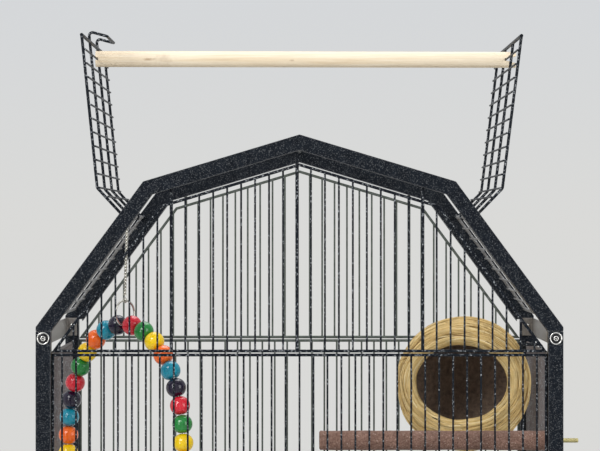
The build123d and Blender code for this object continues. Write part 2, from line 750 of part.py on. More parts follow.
def perch_nut():
    """Wing nut and the washer under it, outside the bars."""
    z = APEX_Z - SAND_DROP
    face = POST_X + BAR_R + 0.2
    with BuildPart() as nut:
        with BuildSketch(Plane(origin=(face, SAND_Y, z), z_dir=(1, 0, 0))):
            Circle(11)
            Circle(STUD_R + 0.1, mode=Mode.SUBTRACT)
        extrude(amount=1.4)
        with BuildSketch(Plane(origin=(face + 1.4, SAND_Y, z), z_dir=(1, 0, 0))):
            Circle(5.2)
            with Locations((0, 0)):
                SlotOverall(26, 2.4)
            Circle(STUD_R + 0.02, mode=Mode.SUBTRACT)
        extrude(amount=6)
    return finish(nut, "sand_perch_wing_nut")


def wood_perch():
    """Plain dowel across the cage; a slot in each end straddles a bar."""
    half = POST_X + BAR_R + 3.0
    seat = POST_X - BAR_R - 0.3
    with BuildPart() as perch:
        with BuildSketch(Plane(origin=(-half, WOOD_Y, WOOD_Z), z_dir=(1, 0, 0))):
            Circle(WOOD_R)
        extrude(amount=2 * half)
        chamfer(perch.edges().filter_by(GeomType.CIRCLE), 0.8)
        with BuildSketch(Plane.XY.offset(WOOD_Z)):
            for side in SIDES.values():
                with Locations((side * (seat + 10), WOOD_Y)):
                    Rectangle(20, 2 * BAR_R + 0.6)
        extrude(amount=WOOD_R + 1, both=True, mode=Mode.SUBTRACT)
    return finish(perch, "wood_perch")


# Bead swing -------------------------------------------------------------------
def arch_marks(side):
    """Ends of one side's straight wire stretches, as distance from the middle and drop."""
    marks = [(0.0, 0.0)]
    angle = 0.0
    step = radians(0.05)
    wanted = RING_GAP
    while angle < pi / 2 and len(marks) <= SIDE_BEADS + 1:
        angle += step
        x = SWING_HALF * sin(angle)
        drop = ARCH_H * (1 - cos(angle))
        if hypot(x - marks[-1][0], drop - marks[-1][1]) >= wanted:
            marks.append((x, drop))
            wanted = BEAD_PITCH
    while len(marks) <= SIDE_BEADS + 1:
        marks.append((SWING_HALF, marks[-1][1] + BEAD_PITCH))
    return [(side * x, drop) for x, drop in marks]


def swing_point(across, drop):
    """World point of the bead swing's plane."""
    x = SWING_X + across * cos(SWING_TURN)
    y = SWING_Y - across * sin(SWING_TURN)
    return (x, y, APEX_Z - ARCH_TOP_DROP - drop)


def beads(colour):
    """All the beads of one colour, each bored along the wire."""
    with BuildPart() as group:
        for side in SIDES.values():
            marks = arch_marks(side)[1:]
            for index, (near, far) in enumerate(zip(marks, marks[1:])):
                if BEAD_ORDER[side][index % len(BEAD_ORDER[side])] != colour:
                    continue
                start = Vector(*swing_point(*near))
                along = Vector(*swing_point(*far)) - start
                flat_r = sqrt(BEAD_R ** 2 - (BEAD_LEN / 2) ** 2)
                centre = start + along * 0.5
                across = Vector(-sin(SWING_TURN), -cos(SWING_TURN), 0)
                with BuildSketch(Plane(origin=centre, x_dir=across, z_dir=across.cross(along.normalized()))):
                    with BuildLine():
                        half = BEAD_LEN / 2
                        Polyline((flat_r, -half), (BEAD_BORE, -half), (BEAD_BORE, half), (flat_r, half))
                        ThreePointArc((flat_r, half), (BEAD_R, 0), (flat_r, -half))
                    make_face()
                revolve(axis=Axis(centre, along))
    return finish(group, f"swing_beads_{colour}")


def swing_wire():
    """Wire that the beads are threaded on, through the perch at its two ends."""
    left = [swing_point(*mark) for mark in arch_marks(-1)]
    right = [swing_point(*mark) for mark in arch_marks(1)]
    tail = 2 * SWING_PERCH_R + 3
    ends = [(x, y, z - tail) for x, y, z in (left[-1], right[-1])]
    route = [ends[0]] + left[::-1] + right[1:] + [ends[1]]
    with BuildPart() as arch:
        with BuildLine() as path:
            Polyline(*route)
        start = Vector(*route[0])
        with BuildSketch(Plane(origin=start, z_dir=Vector(*route[1]) - start)) as section:
            Circle(THREAD_R)
        sweep(section.sketch, path=path.wires()[0], transition=Transition.RIGHT)
        for end in ends:
            with Locations(end):
                Sphere(2.6)
    return finish(arch, "swing_wire")


def swing_perch():
    """Wooden perch at the foot of the swing, with a hole for the wire at each end."""
    drop = arch_marks(1)[-1][1] + SWING_PERCH_R
    middle = swing_point(0, drop)
    along = (cos(SWING_TURN), -sin(SWING_TURN), 0)
    half = SWING_HALF + SWING_PERCH_OVER
    with BuildPart() as perch:
        with BuildSketch(Plane(origin=middle, z_dir=along).offset(-half)) as section:
            Circle(SWING_PERCH_R)
        extrude(section.sketch, amount=2 * half)
        chamfer(perch.edges().filter_by(GeomType.CIRCLE), 0.8)
        for side in SIDES.values():
            with BuildSketch(Plane(origin=swing_point(side * SWING_HALF, drop - 10), z_dir=(0, 0, -1))):
                Circle(THREAD_R + 0.3)
            extrude(amount=20, mode=Mode.SUBTRACT)
    return finish(perch, "swing_perch")


def ring_centre():
    x, y, z = swing_point(0, 0)
    return (x, y, z - THREAD_R - RING_WIRE - 0.02 + RING_R)


def swing_ring():
    """Ring around the wire between the two top beads."""
    along = (cos(SWING_TURN), -sin(SWING_TURN), 0)
    plane = Plane(origin=ring_centre(), z_dir=along)
    with BuildPart() as ring:
        with Locations(plane.location):
            Torus(RING_R, RING_WIRE)
    return finish(ring, "swing_ring")


def swing_hanger():
    """Wire hanger: an eye over the hinge rod, a shank and an eye around the ring."""
    hinge_x, hinge_z = hinge_point(-1)
    x, y, z = ring_centre()
    top_r = 4.0
    low_r = 2.7
    top = (hinge_x, y, hinge_z - 0.6)
    low = (x, y, z + RING_R - RING_WIRE - 1.02 + low_r)
    across = (sin(SWING_TURN), cos(SWING_TURN), 0)
    with BuildPart() as hanger:
        with Locations(facing_front(y).location):
            with Locations((top[0], top[2])):
                Torus(top_r, 1.0)
        wire((top[0], y, top[2] - top_r), (low[0], y, low[2] + low_r), 1.2)
        with Locations(Plane(origin=low, z_dir=across).location):
            Torus(low_r, 1.0)
    return finish(hanger, "swing_hanger")


# Nest -------------------------------------------------------------------------
def nest():
    """Round nest with a thick wall; its mouth faces the front."""
    centre = (NEST_X, NEST_Y, APEX_Z - NEST_DROP)
    with BuildPart() as ball:
        with Locations(centre):
            Sphere(NEST_R)
            Sphere(NEST_R - NEST_WALL, mode=Mode.SUBTRACT)
        with BuildSketch(Plane(origin=centre, x_dir=(1, 0, 0), z_dir=(0, -1, 0))) as mouth:
            with Locations(NEST_MOUTH_AT):
                Ellipse(*NEST_MOUTH)
        extrude(mouth.sketch, amount=NEST_R + 5, mode=Mode.SUBTRACT)
    return finish(ball, "nest")


def nest_hooks():
    """Two wire hooks from the nest over the top wire of the right side grille."""
    z = SCREW_Z - 19 + 4.2
    with BuildPart() as hooks:
        for y in (14.0, 42.0):
            start = (NEST_X + NEST_R - 16, y, z)
            corner = (POST_X + 3.0, y, z)
            with BuildLine() as path:
                FilletPolyline(start, corner, (corner[0], y, z - 15), radius=2.2)
            with BuildSketch(Plane(origin=start, z_dir=(1, 0, 0))) as section:
                Circle(1.2)
            sweep(section.sketch, path=path.wires()[0])
    return finish(hooks, "nest_hooks")


# Doors --------------------------------------------------------------------------
def front_door():
    """Door grille in a frame wire; its left wire turns in the cage's hinge clips."""
    plane = Plane(origin=(0, -POST_Y - DOOR_GAP, DOOR_Z0), x_dir=(1, 0, 0), z_dir=(0, -1, 0))
    height = DOOR_Z1 - DOOR_Z0
    with BuildPart() as door:
        build_grille(plane, DOOR_W, height, (height / 2,), side=1, border=FRAME_R)
        with Locations((DOOR_W / 2 - 11, -POST_Y - DOOR_GAP - 1.2, LATCH_Z)):
            Box(23, 2.0, 26)
        with Locations(Plane(origin=(LATCH_X, -POST_Y - DOOR_GAP, LATCH_Z), z_dir=(0, -1, 0)).location):
            Cylinder(LATCH_PIN_R + RUNNING, 12, mode=Mode.SUBTRACT)
    return finish(door, "front_door")


def door_latch():
    """Turn latch: a knob outside, a pin through the door's plate and an arm inside, turned up to open."""
    front = -POST_Y - DOOR_GAP - 2.6
    inside = -POST_Y + BORDER_R + 0.6
    with BuildPart() as latch:
        with BuildSketch(Plane(origin=(LATCH_X, front, LATCH_Z), x_dir=(1, 0, 0), z_dir=(0, -1, 0))):
            with Locations((0, 6)):
                SlotOverall(24, 9, rotation=90)
        extrude(amount=2.2)
        with BuildSketch(Plane(origin=(LATCH_X, front, LATCH_Z), z_dir=(0, 1, 0))):
            Circle(LATCH_PIN_R)
        extrude(amount=inside - front + 0.5)
        with BuildSketch(Plane(origin=(LATCH_X, inside + 1.6, LATCH_Z), x_dir=(1, 0, 0), z_dir=(0, -1, 0))):
            with Locations((0, 10)):
                SlotOverall(29, 8, rotation=90)
        extrude(amount=1.6)
    return finish(latch, "door_latch")


def feeder_door(name, side):
    """Small sliding door outside the feeder opening; its frame's eyes ride on the guide wires."""
    plane = Plane(origin=(side * (POST_X + FEEDER_GAP), 0, FEEDER_Z0 - 3), x_dir=(0, 1, 0), z_dir=(1, 0, 0))
    height = FEEDER_Z1 - FEEDER_Z0 + 6
    width = FEEDER_W - 9
    x = side * (POST_X + FEEDER_GAP)
    with BuildPart() as door:
        build_grille(plane, width, height, (), side=side)
        for end in ENDS.values():
            for z in (FEEDER_Z0 + 8, FEEDER_Z1 - 8):
                with Locations((x, end * FEEDER_W / 2, z)):
                    Cylinder(BORDER_R + 1.4, 7)
                with Locations((x, end * (FEEDER_W / 2 - 3), z)):
                    Box(2, 4, 6)
                with Locations((x, end * FEEDER_W / 2, z)):
                    Cylinder(BORDER_R + RUNNING, 9, mode=Mode.SUBTRACT)
    return finish(door, name)


def finish(builder, name, shift=(0, 0, 0)):
    """Label the part, put it in its place and write it."""
    return finish_shape(builder.part, name, shift)


def finish_shape(shape, name, shift=(0, 0, 0)):
    placed = shape.moved(Location(shift))
    placed.label = name
    export_step(placed, f"parts/{name}.step")
    return placed


def main():
    os.makedirs("parts", exist_ok=True)
    roof_arch("front_roof_arch", -INNER_D, TUBE)
    roof_arch("back_roof_arch", HALF_D, BACK_BAND)
    for end_name, end in ENDS.items():
        for side_name, side in SIDES.items():
            corner_post(f"{end_name}_{side_name}_post", side, end)
    for side_name, side in SIDES.items():
        eave_rail(f"{side_name}_eave_rail", side)
        roof_grille(f"{side_name}_roof_grille", side)
        side_grille(f"{side_name}_side_grille", side)
    eave_screws()
    eave_washers()
    ridge_bar()
    gable_grille("front_gable_grille", -POST_Y, TUBE)
    gable_grille("back_gable_grille", POST_Y, BACK_BAND)
    front_grille()
    back_grille()
    base_frame()
    stand_legs()
    lower_shelf()
    floor_grate()
    seed_tray()
    front_door()
    door_latch()
    rungs = []
    for side_name, side in SIDES.items():
        cup_ring(f"{side_name}_cup_ring", side)
        seed_cup(f"{side_name}_seed_cup", side)
        feeder_door(f"{side_name}_feeder_door", side)
        rungs.append(roof_panel(f"{side_name}_roof_panel", side)[1])
    play_perch(*rungs)
    sand_perch()
    perch_stud()
    perch_nut()
    wood_perch()
    swing_hanger()
    swing_ring()
    swing_wire()
    swing_perch()
    for colour in BEAD_ORDER[1]:
        beads(colour)
    nest()
    nest_hooks()
    for name, x, y, side in caster_spots():
        caster_fork(f"{name}_caster_fork", x, y, side)
        caster_wheel(f"{name}_caster_wheel", x, y, side)


main()
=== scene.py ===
"""Bird cage on a rolling stand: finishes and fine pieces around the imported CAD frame.

Metres, +Z up, the front faces -Y.
"""
import json
import math
import random

import bmesh
import bpy
import numpy as np
from mathutils import Matrix, Vector, noise


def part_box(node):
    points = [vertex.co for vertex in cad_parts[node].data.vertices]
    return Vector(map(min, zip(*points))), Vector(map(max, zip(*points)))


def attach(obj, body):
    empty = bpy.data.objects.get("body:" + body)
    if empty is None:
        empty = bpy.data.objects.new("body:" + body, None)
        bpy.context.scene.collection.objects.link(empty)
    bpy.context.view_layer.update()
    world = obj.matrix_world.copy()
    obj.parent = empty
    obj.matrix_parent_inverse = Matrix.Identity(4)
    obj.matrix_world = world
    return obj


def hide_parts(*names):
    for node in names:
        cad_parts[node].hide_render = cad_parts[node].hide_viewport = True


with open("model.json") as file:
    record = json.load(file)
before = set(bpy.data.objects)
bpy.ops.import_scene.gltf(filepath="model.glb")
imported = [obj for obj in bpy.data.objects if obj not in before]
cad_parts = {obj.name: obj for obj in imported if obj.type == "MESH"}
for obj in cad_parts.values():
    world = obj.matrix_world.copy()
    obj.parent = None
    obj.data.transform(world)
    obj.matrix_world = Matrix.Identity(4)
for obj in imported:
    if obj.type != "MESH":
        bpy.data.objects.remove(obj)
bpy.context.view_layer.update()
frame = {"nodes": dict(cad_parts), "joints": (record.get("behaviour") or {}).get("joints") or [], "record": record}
nodes = frame["nodes"]
scene = bpy.context.scene
MM = 0.001


# Camera and stage -------------------------------------------------------------
CAMERA_PLACE = Vector((0.0005, -3.405, 1.4085))
CAMERA_TARGET = Vector((0.0005, -0.210, 1.4089))
LENS_MM = 191.7
FLOOR_R = 2.6
FADE_FROM, FADE_TO = 0.9, 2.5        # distances from the middle between which the floor fades out
# name, place, target, size, power
LIGHTS = [
    ("key", (-1.6, -2.4, 3.2), (0, 0, 1.3), (1.6, 1.2), 55),
    ("strip", (-1.5, -1.9, 1.6), (0, 0, 1.3), (0.12, 1.3), 6),
    ("fill", (2.2, -2.2, 1.9), (0, 0, 1.2), (1.4, 1.8), 28),
    ("top", (0.2, 0.8, 3.4), (0, 0, 1.4), (1.6, 1.6), 30),
]


def make_camera():
    """Long lens just under the roof, level with the middle of the gable."""
    data = bpy.data.cameras.new("camera")
    data.sensor_width = 36.0
    data.lens = LENS_MM
    data.clip_end = 50.0
    camera = bpy.data.objects.new("camera", data)
    scene.collection.objects.link(camera)
    camera.location = CAMERA_PLACE
    camera.rotation_euler = (CAMERA_TARGET - CAMERA_PLACE).to_track_quat("-Z", "Y").to_euler()
    scene.camera = camera


def soft_light(name, place, target, size, power):
    """White rectangular light that faces its target."""
    data = bpy.data.lights.new(name, "AREA")
    data.shape = "RECTANGLE"
    data.size, data.size_y = size
    data.energy = power
    light = bpy.data.objects.new(name, data)
    scene.collection.objects.link(light)
    light.location = place
    light.rotation_euler = (Vector(target) - Vector(place)).to_track_quat("-Z", "Y").to_euler()


def make_world():
    """Even studio grey, a little cooler towards the top."""
    world = bpy.data.worlds.new("studio")
    scene.world = world
    world.use_nodes = True
    tree = world.node_tree
    background = tree.nodes["Background"]
    coords = tree.nodes.new("ShaderNodeTexCoord")
    split = tree.nodes.new("ShaderNodeSeparateXYZ")
    ramp = tree.nodes.new("ShaderNodeValToRGB")
    tree.links.new(coords.outputs["Generated"], split.inputs[0])
    tree.links.new(split.outputs["Z"], ramp.inputs["Fac"])
    tree.links.new(ramp.outputs["Color"], background.inputs["Color"])
    stops = ramp.color_ramp.elements
    stops[0].position, stops[0].color = 0.0, (0.70, 0.70, 0.685, 1)
    stops[1].position, stops[1].color = 0.09, (0.655, 0.675, 0.70, 1)
    background.inputs["Strength"].default_value = 1.0


def make_floor():
    """Pale floor disc that fades into the studio grey at its rim."""
    bpy.ops.mesh.primitive_circle_add(vertices=96, radius=FLOOR_R, fill_type="NGON")
    floor = bpy.context.object
    floor.name = "floor"
    material = bpy.data.materials.new("floor")
    material.use_nodes = True
    tree = material.node_tree
    shader = tree.nodes["Principled BSDF"]
    shader.inputs["Base Color"].default_value = (0.72, 0.72, 0.71, 1)
    shader.inputs["Roughness"].default_value = 0.6
    coords = tree.nodes.new("ShaderNodeTexCoord")
    length = tree.nodes.new("ShaderNodeVectorMath")
    length.operation = "LENGTH"
    fade = tree.nodes.new("ShaderNodeMapRange")
    fade.inputs["From Min"].default_value = FADE_FROM
    fade.inputs["From Max"].default_value = FADE_TO
    fade.interpolation_type = "SMOOTHSTEP"
    clear = tree.nodes.new("ShaderNodeBsdfTransparent")
    mix = tree.nodes.new("ShaderNodeMixShader")
    tree.links.new(coords.outputs["Object"], length.inputs[0])
    tree.links.new(length.outputs["Value"], fade.inputs["Value"])
    tree.links.new(fade.outputs["Result"], mix.inputs["Fac"])
    tree.links.new(shader.outputs["BSDF"], mix.inputs[1])
    tree.links.new(clear.outputs["BSDF"], mix.inputs[2])
    tree.links.new(mix.outputs["Shader"], tree.nodes["Material Output"].inputs["Surface"])
    floor.data.materials.append(material)


# Materials --------------------------------------------------------------------
class Finish:
    """A node material built step by step on one Principled shader."""

    def __init__(self, name, **constants):
        self.material = bpy.data.materials.new(name)
        self.material.use_nodes = True
        self.tree = self.material.node_tree
        self.shader = self.tree.nodes["Principled BSDF"]
        for socket, value in constants.items():
            self.shader.inputs[socket.replace("_", " ")].default_value = value
        self.coords = self.tree.nodes.new("ShaderNodeTexCoord").outputs["Object"]

    def node(self, kind, **settings):
        made = self.tree.nodes.new("ShaderNode" + kind)
        for key, value in settings.items():
            setattr(made, key, value)
        return made

    def link(self, source, target):
        self.tree.links.new(source, target)

    def stretched(self, scale):
        mapping = self.node("Mapping")
        mapping.inputs["Scale"].default_value = scale
        self.link(self.coords, mapping.inputs["Vector"])
        return mapping.outputs["Vector"]

    def noise(self, scale, detail=3.0, rough=0.5, vector=None, distortion=0.0):
        made = self.node("TexNoise")
        made.inputs["Scale"].default_value = scale
        made.inputs["Detail"].default_value = detail
        made.inputs["Roughness"].default_value = rough
        made.inputs["Distortion"].default_value = distortion
        self.link(vector or self.coords, made.inputs["Vector"])
        return made.outputs["Fac"]

    def cells(self, scale, vector=None, output="Distance"):
        made = self.node("TexVoronoi")
        made.inputs["Scale"].default_value = scale
        self.link(vector or self.coords, made.inputs["Vector"])
        return made.outputs[output]

    def ramp(self, factor, *stops):
        """Colours (or greys) by position along factor."""
        made = self.node("ValToRGB")
        elements = made.color_ramp.elements
        while len(elements) < len(stops):
            elements.new(0.5)
        for element, (position, value) in zip(elements, stops):
            colour = value if isinstance(value, tuple) else (value,) * 3
            element.position = position
            element.color = (*colour, 1)
        self.link(factor, made.inputs["Fac"])
        return made.outputs["Color"]

    def mix(self, factor, first, second, blend="MIX"):
        made = self.node("Mix", data_type="RGBA", blend_type=blend)
        for value, socket in ((factor, made.inputs["Factor"]), (first, made.inputs["A"]),
                              (second, made.inputs["B"])):
            self.feed(value, socket)
        return made.outputs["Result"]

    def feed(self, value, socket):
        if isinstance(value, bpy.types.NodeSocket):
            self.link(value, socket)
        elif isinstance(value, tuple):
            socket.default_value = (*value, 1)
        else:
            socket.default_value = value

    def colour(self, source):
        self.link(source, self.shader.inputs["Base Color"])

    def rough(self, source):
        self.link(source, self.shader.inputs["Roughness"])

    def bump(self, height, distance, strength=1.0):
        made = self.node("Bump")
        made.inputs["Distance"].default_value = distance
        made.inputs["Strength"].default_value = strength
        self.link(height, made.inputs["Height"])
        previous = self.shader.inputs["Normal"].links
        if previous:
            self.link(previous[0].from_socket, made.inputs["Normal"])
        self.link(made.outputs["Normal"], self.shader.inputs["Normal"])

    def painted_edge_highlight(self, radius):
        """1 on rounded-over edges, 0 on flats; it masks a painted edge highlight."""
        bevel = self.node("Bevel", samples=6)
        bevel.inputs["Radius"].default_value = radius
        geometry = self.node("NewGeometry")
        product = self.node("VectorMath", operation="DOT_PRODUCT")
        self.link(bevel.outputs["Normal"], product.inputs[0])
        self.link(geometry.outputs["Normal"], product.inputs[1])
        return self.ramp(product.outputs["Value"], (0.80, 1.0), (0.985, 0.0))


BLACK = ((0.0016, 0.0032, 0.0064), (0.0056, 0.0088, 0.0142))
# width of the painted edge highlight
EDGE_HIGHLIGHT_WIDTH = 0.9 * MM


def hammered_black(name, fleck=0.11, fleck_scale=1100.0, highlight_grey=0.42, ground=BLACK):
    """Powder coat between two ground tones with silver flecks, with a painted highlight lightening its edges."""
    coat = Finish(name, Specular_IOR_Level=0.12)
    clouds = coat.noise(110.0, 4.0, 0.6)
    base = coat.ramp(clouds, (0.3, ground[0]), (0.75, ground[1]))
    cells = coat.cells(fleck_scale, output="Color")
    pick = coat.ramp(coat.noise(fleck_scale * 0.9, 2.0, 0.6, vector=cells), (0.50, 0.0), (0.60, 1.0))
    spots = coat.ramp(coat.cells(fleck_scale), (0.2, 1.0), (0.6, 0.0))
    flecks = coat.mix(1.0, pick, spots, "MULTIPLY")
    speckled = coat.mix(flecks, base, (fleck, fleck * 1.05, fleck * 1.10))
    # painted highlight: the edges are lightened towards a light grey, standing for light caught on the rounded
    # edges
    if highlight_grey:
        speckled = coat.mix(coat.painted_edge_highlight(EDGE_HIGHLIGHT_WIDTH), speckled, (highlight_grey, highlight_grey, highlight_grey * 1.03))
    coat.colour(speckled)
    coat.rough(coat.ramp(clouds, (0.3, 0.40), (0.8, 0.58)))
    coat.bump(coat.noise(420.0, 3.0, 0.55), 0.25 * MM, 0.5)
    return coat.material


def pine(name, axis=0, knots=()):
    """Sanded pine: long streaks along the dowel, fine pores and a few knots."""
    scale = [230.0] * 3
    scale[axis] = 7.0
    wood = Finish(name, Specular_IOR_Level=0.22)
    along = wood.stretched(scale)
    streaks = wood.noise(1.0, 5.0, 0.6, vector=along, distortion=0.6)
    fine = [900.0] * 3
    fine[axis] = 22.0
    pores = wood.noise(1.0, 3.0, 0.6, vector=wood.stretched(fine))
    body = wood.ramp(streaks, (0.25, (0.70, 0.55, 0.37)), (0.45, (0.80, 0.68, 0.50)),
                     (0.62, (0.85, 0.75, 0.59)), (0.8, (0.77, 0.63, 0.45)))
    body = wood.mix(wood.ramp(pores, (0.35, 0.22), (0.6, 0.0)), body, (0.50, 0.33, 0.17))
    for place, length, width, depth in knots:
        offset = wood.node("VectorMath", operation="SUBTRACT")
        wood.link(wood.coords, offset.inputs[0])
        offset.inputs[1].default_value = place
        scaled = wood.node("VectorMath", operation="MULTIPLY")
        wood.link(offset.outputs[0], scaled.inputs[0])
        shape = [1 / width] * 3
        shape[axis] = 1 / length
        scaled.inputs[1].default_value = shape
        warp = wood.node("VectorMath", operation="LENGTH")
        wood.link(scaled.outputs[0], warp.inputs[0])
        ragged = wood.node("Math", operation="ADD")
        wood.link(warp.outputs["Value"], ragged.inputs[0])
        wobble = wood.node("Math", operation="MULTIPLY")
        wood.link(wood.noise(260.0, 3.0), wobble.inputs[0])
        wobble.inputs[1].default_value = 0.7
        wood.link(wobble.outputs[0], ragged.inputs[1])
        mask = wood.ramp(ragged.outputs[0], (0.55, depth), (0.75, depth * 0.5), (1.5, 0.0))
        body = wood.mix(mask, body, (0.22, 0.10, 0.035))
    wood.colour(body)
    wood.rough(wood.ramp(streaks, (0.3, 0.58), (0.7, 0.72)))
    wood.bump(pores, 0.12 * MM, 0.5)
    return wood.material


def lacquer(name, colour, shade):
    """Gloss paint on a turned wooden bead: slightly cloudy, with a faint grain under the coat."""
    paint = Finish(name, Roughness=0.14, Specular_IOR_Level=0.38, Coat_Weight=0.4, Coat_Roughness=0.04)
    clouds = paint.noise(95.0, 3.0, 0.55)
    body = paint.ramp(clouds, (0.3, shade), (0.62, colour))
    specks = paint.ramp(paint.noise(640.0, 2.0, 0.5), (0.66, 0.0), (0.74, 0.4))
    paint.colour(paint.mix(specks, body, tuple(c * 0.45 for c in colour)))
    paint.bump(paint.noise(210.0, 2.0, 0.5), 0.12 * MM, 0.25)
    return paint.material


def grit():
    """Reddish sand glued to the perch, with paler and darker grains."""
    sand = Finish("sand_grit", Roughness=0.9, Specular_IOR_Level=0.3)
    grains = sand.cells(950.0, output="Color")
    tone = sand.noise(4.0, 1.0, 0.5, vector=grains)
    body = sand.ramp(tone, (0.30, (0.135, 0.072, 0.052)), (0.5, (0.225, 0.130, 0.099)),
                     (0.66, (0.300, 0.185, 0.142)), (0.78, (0.46, 0.35, 0.30)))
    patches = sand.ramp(sand.noise(45.0, 3.0), (0.35, 0.75), (0.7, 1.1))
    sand.colour(sand.mix(1.0, body, patches, "MULTIPLY"))
    sand.bump(sand.cells(800.0), 0.5 * MM, 0.8)
    return sand.material


def straw():
    """Dry grass strands; each strand keeps its own tone."""
    grass = Finish("straw", Roughness=0.62, Specular_IOR_Level=0.35)
    tone = grass.node("Attribute", attribute_name="strand").outputs["Fac"]
    body = grass.ramp(tone, (0.0, (0.26, 0.145, 0.045)), (0.22, (0.47, 0.300, 0.100)),
                      (0.55, (0.66, 0.465, 0.185)), (0.85, (0.77, 0.595, 0.290)), (1.0, (0.85, 0.71, 0.42)))
    blotches = grass.ramp(grass.noise(75.0, 3.0, 0.6), (0.32, 0.76), (0.62, 1.0))
    grass.colour(grass.mix(1.0, body, blotches, "MULTIPLY"))
    grass.bump(grass.noise(900.0, 3.0), 0.2 * MM, 0.6)
    return grass.material


def nest_shell():
    """Shadowed packing under the strands, dark brown on the inside."""
    lining = Finish("nest_lining", Roughness=0.85, Specular_IOR_Level=0.2)
    fibres = lining.noise(1.0, 4.0, 0.6, vector=lining.stretched((260, 90, 260)))
    depth = lining.node("Attribute", attribute_name="strand").outputs["Fac"]
    inside = lining.ramp(fibres, (0.30, (0.145, 0.105, 0.080)), (0.70, (0.31, 0.225, 0.165)))
    outside = lining.ramp(fibres, (0.35, (0.20, 0.120, 0.042)), (0.65, (0.46, 0.305, 0.115)))
    lining.colour(lining.mix(depth, inside, outside))
    lining.bump(fibres, 0.8 * MM, 0.8)
    return lining.material


GLOSS_SPREAD = 0.06


def metal(name, colour, roughness, scale=180.0, brushed=None):
    """Bare or plated metal with uneven gloss."""
    plate = Finish(name, Metallic=1.0)
    vector = plate.stretched(brushed) if brushed else plate.coords
    uneven = plate.noise(1.0 if brushed else scale, 4.0, 0.6, vector=vector)
    dull = tuple(c * 0.72 for c in colour)
    plate.colour(plate.ramp(uneven, (0.32, dull), (0.62, colour)))
    plate.rough(plate.ramp(uneven, (0.3, roughness - GLOSS_SPREAD), (0.7, roughness + GLOSS_SPREAD)))
    plate.bump(uneven, 0.06 * MM, 0.3)
    return plate.material


def rubber():
    """Caster tread: matte, a little dusty."""
    tread = Finish("caster_rubber", Roughness=0.75, Specular_IOR_Level=0.35)
    dust = tread.noise(120.0, 4.0, 0.6)
    tread.colour(tread.ramp(dust, (0.35, (0.016, 0.016, 0.017)), (0.75, (0.06, 0.058, 0.055))))
    tread.bump(tread.noise(700.0, 2.0), 0.1 * MM, 0.4)
    return tread.material


# Mesh helpers -----------------------------------------------------------------
def new_piece(name, mesh, material, body, replaced=()):
    """Link a finished bmesh as a piece that rides on a CAD body."""
    data = bpy.data.meshes.new(name)
    mesh.normal_update()
    mesh.to_mesh(data)
    mesh.free()
    for polygon in data.polygons:
        polygon.use_smooth = True
    piece = bpy.data.objects.new(name, data)
    scene.collection.objects.link(piece)
    for one in material if isinstance(material, list) else [material]:
        data.materials.append(one)
    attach(piece, body)
    if replaced:
        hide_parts(*replaced)
    return piece


def frame_along(direction):
    """Rotation whose Z axis is the direction."""
    return direction.to_track_quat("Z", "Y").to_matrix()


def lathe(mesh, profile, place, turn, steps=32, material=0):
    """Closed surface of revolution: profile is (radius, height) from bottom to top round the loop."""
    rings = []
    for step in range(steps):
        angle = math.tau * step / steps
        around = Vector((math.cos(angle), math.sin(angle), 0))
        ring = [mesh.verts.new(place + turn @ (around * r + Vector((0, 0, h)))) for r, h in profile]
        rings.append(ring)
    count = len(profile)
    for step in range(steps):
        here, after = rings[step], rings[(step + 1) % steps]
        for i in range(count):
            j = (i + 1) % count
            face = mesh.faces.new((here[i], after[i], after[j], here[j]))
            face.material_index = material


def skin(mesh, rings):
    """Faces between rings of vertices, with both ends closed."""
    sides = len(rings[0])
    for here, after in zip(rings, rings[1:]):
        for k in range(sides):
            j = (k + 1) % sides
            mesh.faces.new((here[k], here[j], after[j], after[k]))
    mesh.faces.new(tuple(reversed(rings[0])))
    mesh.faces.new(tuple(rings[-1]))


def tube(mesh, points, radius, sides=8, layer=None, tone=0.0, taper=False):
    """Round tube along points with closed ends; a strand's tone goes into layer."""
    points = [Vector(p) for p in points]
    normal = None
    rings = []
    last = len(points) - 1
    for i, point in enumerate(points):
        tangent = (points[min(i + 1, last)] - points[max(i - 1, 0)]).normalized()
        if normal is None:
            normal = tangent.orthogonal().normalized()
        normal = (normal - tangent * normal.dot(tangent)).normalized()
        side = tangent.cross(normal)
        thick = radius * (0.35 + 0.65 * math.sin(math.pi * (i + 0.6) / (last + 1.2))) if taper else radius
        ring = []
        for k in range(sides):
            angle = math.tau * k / sides
            vert = mesh.verts.new(point + (normal * math.cos(angle) + side * math.sin(angle)) * thick)
            if layer is not None:
                vert[layer] = tone
            ring.append(vert)
        rings.append(ring)
    skin(mesh, rings)


def loose_parts(node):
    """Vertices of each separate solid of a CAD node, as arrays."""
    mesh = bmesh.new()
    mesh.from_mesh(nodes[node].data)
    bmesh.ops.remove_doubles(mesh, verts=mesh.verts, dist=1e-6)
    mesh.verts.ensure_lookup_table()
    seen, groups = set(), []
    for start in mesh.verts:
        if start.index in seen:
            continue
        stack, group = [start], []
        seen.add(start.index)
        while stack:
            vert = stack.pop()
            group.append(vert.co[:])
            for edge in vert.link_edges:
                other = edge.other_vert(vert)
                if other.index not in seen:
                    seen.add(other.index)
                    stack.append(other)
        groups.append(np.array(group))
    mesh.free()
    return groups


def turned_axis(points, rim_reach):
    """Centre and axis of a bored ball, from the rims of its bore, which lie nearest to its middle."""
    middle = (points.min(0) + points.max(0)) / 2
    rims = points[np.linalg.norm(points - middle, axis=1) < rim_reach]
    centre = rims.mean(0)
    vectors = np.linalg.eigh(np.cov((rims - centre).T))[1]
    return Vector(centre), Vector(vectors[:, 2])


# Bead swing -------------------------------------------------------------------
BEAD_R = 10.3 * MM
BEAD_HALF = 9.35 * MM
RIM_REACH = 9.5 * MM         # the CAD bore's rims lie nearer to the bead's middle than this
BORE_R = 1.75 * MM
BORE_LIP = 0.25 * MM
MOUTH_R = 2.6 * MM           # where the rounded mouth of the bore meets the ball
BEAD_FULLNESS = 0.82         # below 1 the ball is squarer than a sphere
